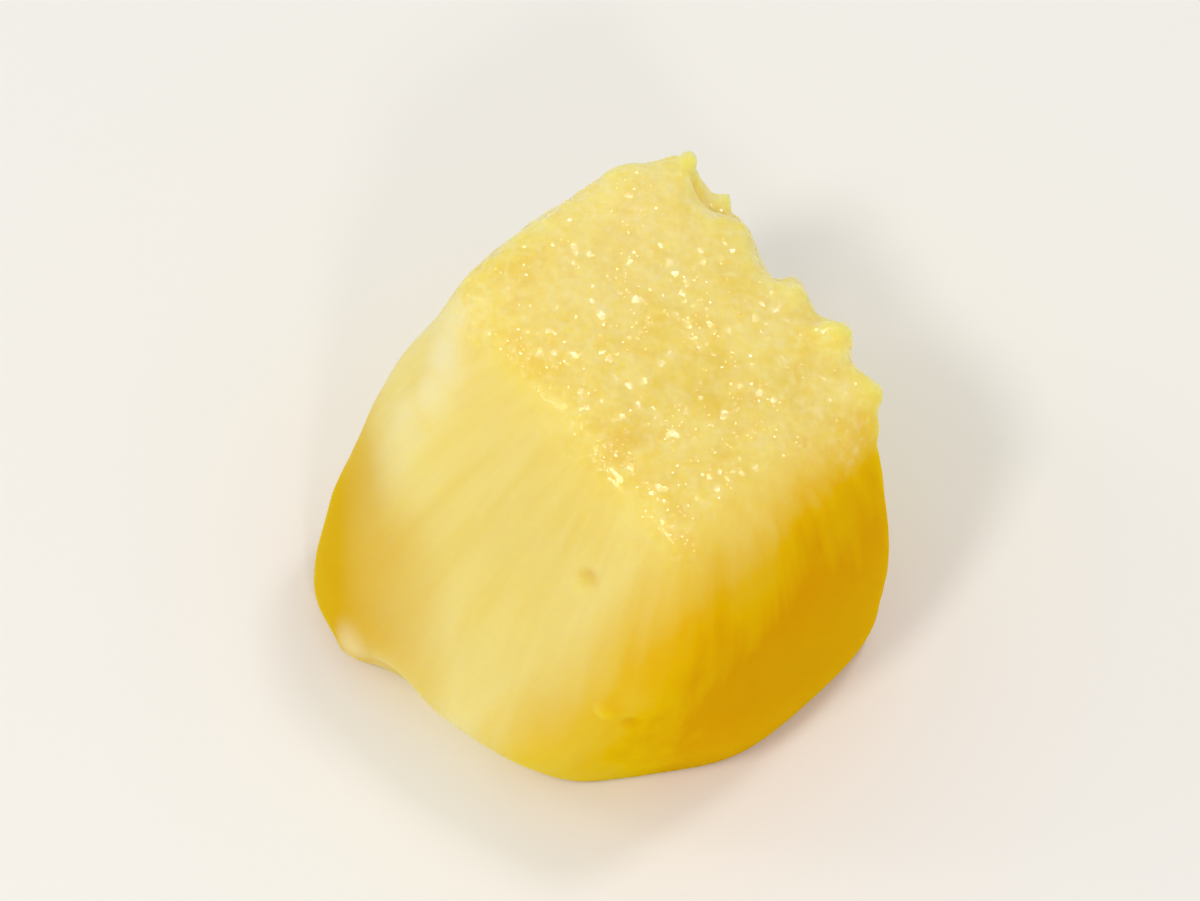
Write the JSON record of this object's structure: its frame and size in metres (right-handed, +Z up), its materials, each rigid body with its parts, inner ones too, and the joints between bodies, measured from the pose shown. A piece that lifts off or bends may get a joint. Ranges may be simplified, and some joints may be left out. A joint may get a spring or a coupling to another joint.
{
  "type": "pineapple chunk",
  "caption": "Bite-size cut chunk of fresh pineapple: blocky juicy golden flesh with a wet grainy cut end, smooth fibrous sides, soft uneven edges and a torn corner.",
  "frame": {"origin": "on the flat underside, below the middle of the chunk's box", "axes": "+Z up out of the flat underside the chunk rests on; -Y towards the two faces that meet in the front edge; the torn edge is on the +X side"},
  "size_m": [0.0298, 0.0294, 0.0233],
  "materials": {
    "pineapple_flesh": "wet, translucent fibrous fruit flesh",
    "juice": "clear thin juice, in beads and a film on the cut flesh"
  },
  "bodies": {
    "root": {"pineapple_flesh": "pineapple_flesh"}
  },
  "joints": []
}
